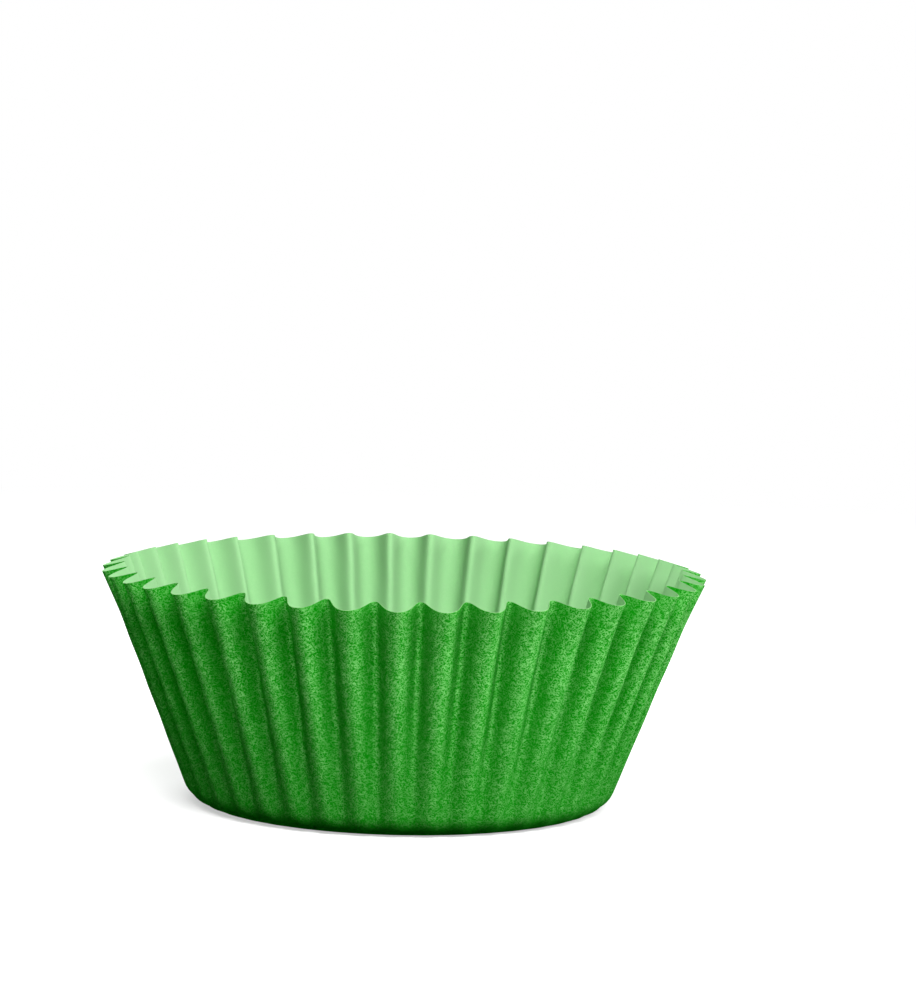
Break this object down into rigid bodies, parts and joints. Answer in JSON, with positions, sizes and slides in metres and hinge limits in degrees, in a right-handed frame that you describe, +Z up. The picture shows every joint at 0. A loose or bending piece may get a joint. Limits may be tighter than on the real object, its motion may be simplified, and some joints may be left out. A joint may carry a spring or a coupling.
{
  "type": "cupcake liner",
  "caption": "Pleated paper baking cup, open at the top, with a flat round base and a fluted wall that flares to a wavy rim.",
  "frame": {"origin": "centre of the flat base's underside, on the surface that the cup stands on", "axes": "+Z up out of the open mouth; +X and +Y lie in the base and are alike, because the cup is round"},
  "size_m": [0.0724, 0.0724, 0.0286],
  "materials": {
    "green_paper": "matt dyed baking paper, mid green outside and paler inside, with fine fibres"
  },
  "bodies": {
    "root": {"liner": "green_paper"}
  },
  "joints": []
}
